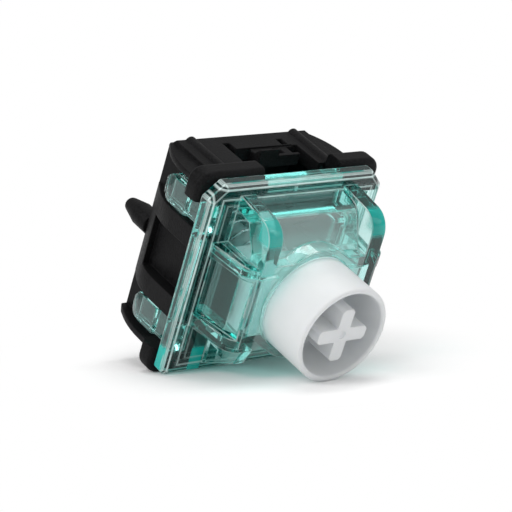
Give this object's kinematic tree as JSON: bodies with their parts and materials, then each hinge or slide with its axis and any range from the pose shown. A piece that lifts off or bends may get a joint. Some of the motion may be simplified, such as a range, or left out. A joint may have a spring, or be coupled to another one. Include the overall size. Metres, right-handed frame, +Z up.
{
  "type": "mechanical keyboard switch",
  "caption": "Linear magnet-sensing keyboard switch with a cross stem inside a round wall, a clear ribbed cover and a black base with plate clips, a centre post and board pegs.",
  "frame": {"origin": "on the switch's axis at the flat underside of the base, where it meets the circuit board", "axes": "+Z up the stem, +Y away from the light window, -Y towards the light window"},
  "size_m": [0.0156, 0.0156, 0.0187],
  "materials": {
    "black_nylon": "fine grained satin",
    "clear_cover": "clear gloss",
    "white_acetal": "satin",
    "spring_steel": "drawn wire",
    "plated_magnet": "nickel plated"
  },
  "bodies": {
    "housing": {"bottom_housing": "black_nylon", "top_housing": "clear_cover", "return_spring": "spring_steel"},
    "plunger": {"stem": "white_acetal", "magnet": "plated_magnet"}
  },
  "joints": [
    {"name": "key_travel", "type": "slide", "parent": "housing", "child": "plunger", "axis": [0, 0, -1], "range_m": [0, 0.004], "stiffness_N_per_m": 75, "springref_m": -0.004, "deforming": ["return_spring"]}
  ]
}
